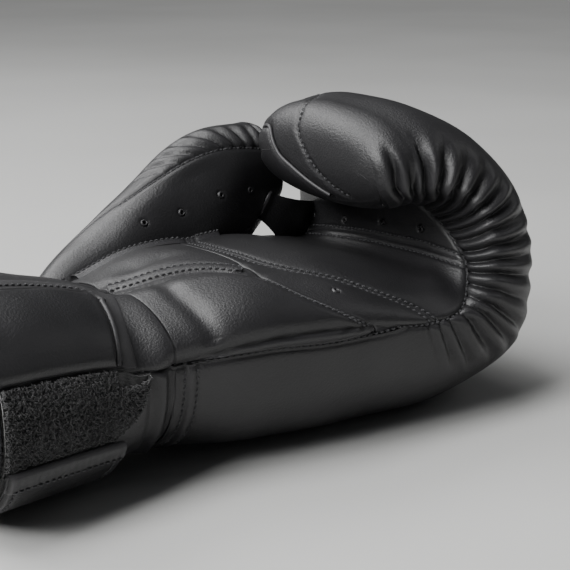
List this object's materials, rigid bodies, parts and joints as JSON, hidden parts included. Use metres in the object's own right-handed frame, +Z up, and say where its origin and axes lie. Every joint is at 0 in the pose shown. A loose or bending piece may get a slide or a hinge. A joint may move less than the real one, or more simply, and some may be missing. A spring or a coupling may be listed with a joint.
{
  "type": "boxing glove",
  "caption": "Padded hook-and-loop boxing glove for the left hand, lying palm up, with a curled finger roll, an attached thumb, a lined hand space and a wrist strap.",
  "frame": {"origin": "centre of the bounding box in plan, at its lowest level, where the back of the mitt rests on the table", "axes": "+X along the glove from the hand opening to the knuckles, +Y from the little finger to the thumb, +Z up, out of the palm"},
  "size_m": [0.2716, 0.1504, 0.1305],
  "materials": {
    "leather_outer": "matt black synthetic leather",
    "leather_satin": "soft satin black synthetic leather",
    "leather_trim": "black piping and binding",
    "lining_cloth": "woven black lining",
    "foam_grey": "closed-cell foam",
    "foam_cream": "open-cell foam",
    "elastic_web": "ribbed elastic",
    "loop_pile": "fuzzy loop pile",
    "hook_tape": "hook tape"
  },
  "bodies": {
    "mitt": {"back_shell": "leather_outer", "palm_heel_panel": "leather_outer", "palm_panel": "leather_satin", "grip_panel": "leather_satin", "mitt_seam_welt": "leather_trim", "palm_strip": "leather_satin", "back_foam_outer": "foam_grey", "back_foam_middle": "foam_cream", "back_foam_inner": "foam_grey", "palm_foam": "foam_cream", "grip_bar": "foam_cream", "crease_foam": "foam_grey", "hand_lining": "lining_cloth", "thumb_lock": "leather_satin", "cuff_back_panel": "leather_outer", "cuff_palm_panel": "leather_outer", "cuff_flap": "leather_outer", "cuff_flap_foam": "foam_grey", "flap_piping": "leather_trim", "wrist_elastic": "elastic_web", "cuff_foam_back": "foam_grey", "cuff_foam_palm": "foam_grey", "cuff_lining": "lining_cloth", "opening_binding": "leather_trim", "wrist_band": "leather_trim", "loop_patch": "loop_pile", "strap_anchor": "leather_outer"},
    "fingers": {"finger_shell": "leather_outer", "finger_panel": "leather_satin", "finger_foam_outer": "foam_grey", "finger_foam_inner": "foam_cream", "finger_pad_foam": "foam_grey", "finger_lining": "lining_cloth"},
    "thumb": {"thumb_back_panel": "leather_outer", "thumb_inner_panel": "leather_satin", "thumb_foam": "foam_grey", "thumb_lining": "lining_cloth"},
    "strap_root": {"strap_base": "leather_outer"},
    "strap_end": {"strap_tip": "leather_outer", "strap_hook_tape": "hook_tape", "strap_end_binding": "leather_trim"}
  },
  "joints": [
    {"name": "finger_bend", "type": "hinge", "parent": "mitt", "child": "fingers", "pos_m": [0.13392, 0, 0.07606], "axis": [0, 1, 0], "range_deg": [0, 8], "stiffness_Nm_per_rad": 6},
    {"name": "thumb_bend", "type": "hinge", "parent": "mitt", "child": "thumb", "pos_m": [-0.05783, 0.03711, 0.06], "axis": [0, 0, 1], "range_deg": [0, 5], "stiffness_Nm_per_rad": 4},
    {"name": "strap_root_bend", "type": "hinge", "parent": "mitt", "child": "strap_root", "pos_m": [-0.10183, 0.04139, 0.0244], "axis": [0.99, -0.136, -0.0368], "range_deg": [0, 60]},
    {"name": "strap_end_bend", "type": "hinge", "parent": "strap_root", "child": "strap_end", "pos_m": [-0.10183, -0.00698, 0.00167], "axis": [0.9998, -0.0051, 0.0209], "range_deg": [0, 90]}
  ]
}
